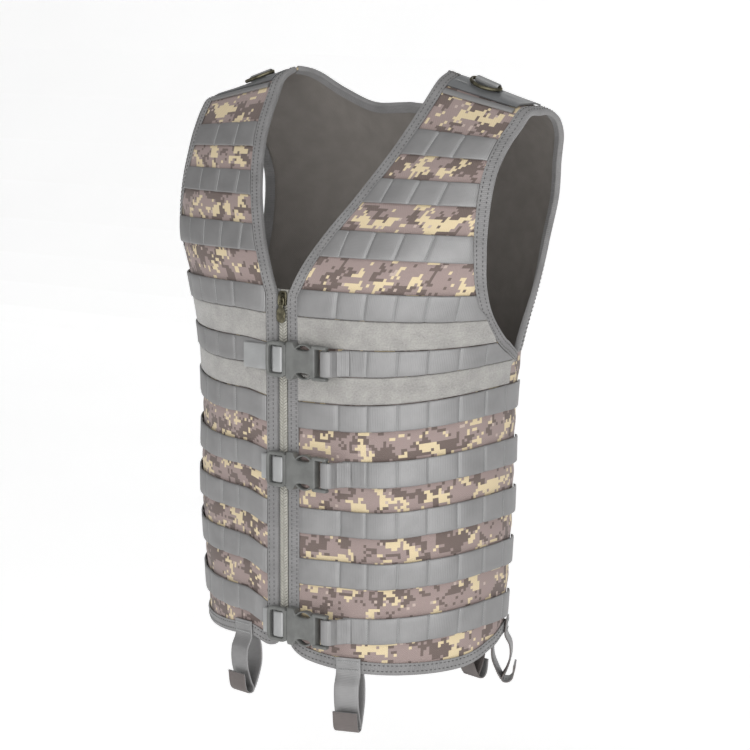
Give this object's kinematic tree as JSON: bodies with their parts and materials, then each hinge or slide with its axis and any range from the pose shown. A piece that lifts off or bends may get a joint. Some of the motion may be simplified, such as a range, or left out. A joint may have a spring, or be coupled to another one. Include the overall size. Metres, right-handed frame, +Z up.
{
  "type": "load-bearing vest",
  "caption": "Sleeveless load-bearing vest of camouflage cloth with rows of webbing, a centre zip, side-release buckles, shoulder rings and hanging belt loops.",
  "frame": {"origin": "shoulder seat: the point midway between the two shoulder tops, on the ridge where the vest rests", "axes": "+Z up, -Y to the front, +X to the wearer's left"},
  "size_m": [0.3994, 0.2424, 0.6206],
  "materials": {
    "camouflage_cloth": "woven cloth with a pixel camouflage print",
    "webbing": "ribbed nylon webbing",
    "binding_tape": "ribbed edge tape with two rows of stitches",
    "loop_fabric": "brushed loop fabric",
    "zip_tape": "woven zip tape and nylon coil",
    "buckle_plastic": "moulded plastic with a fine grain",
    "antique_brass": "dark brushed plating"
  },
  "bodies": {
    "vest": {"armhole_binding_left": "binding_tape", "armhole_binding_right": "binding_tape", "back_hem_binding": "binding_tape", "back_neck_binding": "binding_tape", "back_panel": "camouflage_cloth", "belt_loop_back_left": "webbing", "belt_loop_back_right": "webbing", "belt_loop_front_left": "webbing", "belt_loop_front_right": "webbing", "belt_loop_side_left": "webbing", "belt_loop_side_right": "webbing", "buckle_1_female": "buckle_plastic", "buckle_1_male": "buckle_plastic", "buckle_1_strap": "webbing", "buckle_2_female": "buckle_plastic", "buckle_2_male": "buckle_plastic", "buckle_2_strap": "webbing", "buckle_3_female": "buckle_plastic", "buckle_3_male": "buckle_plastic", "buckle_3_strap": "webbing", "front_binding_left": "binding_tape", "front_binding_right": "binding_tape", "front_panel_left": "camouflage_cloth", "front_panel_right": "camouflage_cloth", "loop_band_left_1": "loop_fabric", "loop_band_left_2": "loop_fabric", "loop_band_right_1": "loop_fabric", "loop_band_right_2": "loop_fabric", "shoulder_strap_left": "webbing", "shoulder_strap_right": "webbing", "webbing_left_1": "webbing", "webbing_left_10": "webbing", "webbing_left_2": "webbing", "webbing_left_3": "webbing", "webbing_left_4": "webbing", "webbing_left_5": "webbing", "webbing_left_6": "webbing", "webbing_left_7": "webbing", "webbing_left_8": "webbing", "webbing_left_9": "webbing", "webbing_right_1": "webbing", "webbing_right_10": "webbing", "webbing_right_2": "webbing", "webbing_right_3": "webbing", "webbing_right_4": "webbing", "webbing_right_5": "webbing", "webbing_right_6": "webbing", "webbing_right_7": "webbing", "webbing_right_8": "webbing", "webbing_right_9": "webbing", "zip_coil": "zip_tape", "zip_slider": "antique_brass", "zip_tape_left": "zip_tape", "zip_tape_right": "zip_tape"},
    "pull": {"zip_pull": "antique_brass"},
    "ring_left": {"d_ring_left": "antique_brass"},
    "ring_right": {"d_ring_right": "antique_brass"}
  },
  "joints": [
    {"name": "pull_swing", "type": "hinge", "parent": "vest", "child": "pull", "pos_m": [0, -0.1382, -0.191], "axis": [-1, 0, 0], "range_deg": [0, 170]},
    {"name": "ring_left_swing", "type": "hinge", "parent": "vest", "child": "ring_left", "pos_m": [0.13854, 0.00057, 0.00842], "axis": [-0.9505, 0.0142, 0.3103], "range_deg": [0, 165]},
    {"name": "ring_right_swing", "type": "hinge", "parent": "vest", "child": "ring_right", "pos_m": [-0.13854, 0.00057, 0.00842], "axis": [-0.9505, -0.0142, -0.3103], "range_deg": [0, 165]}
  ]
}
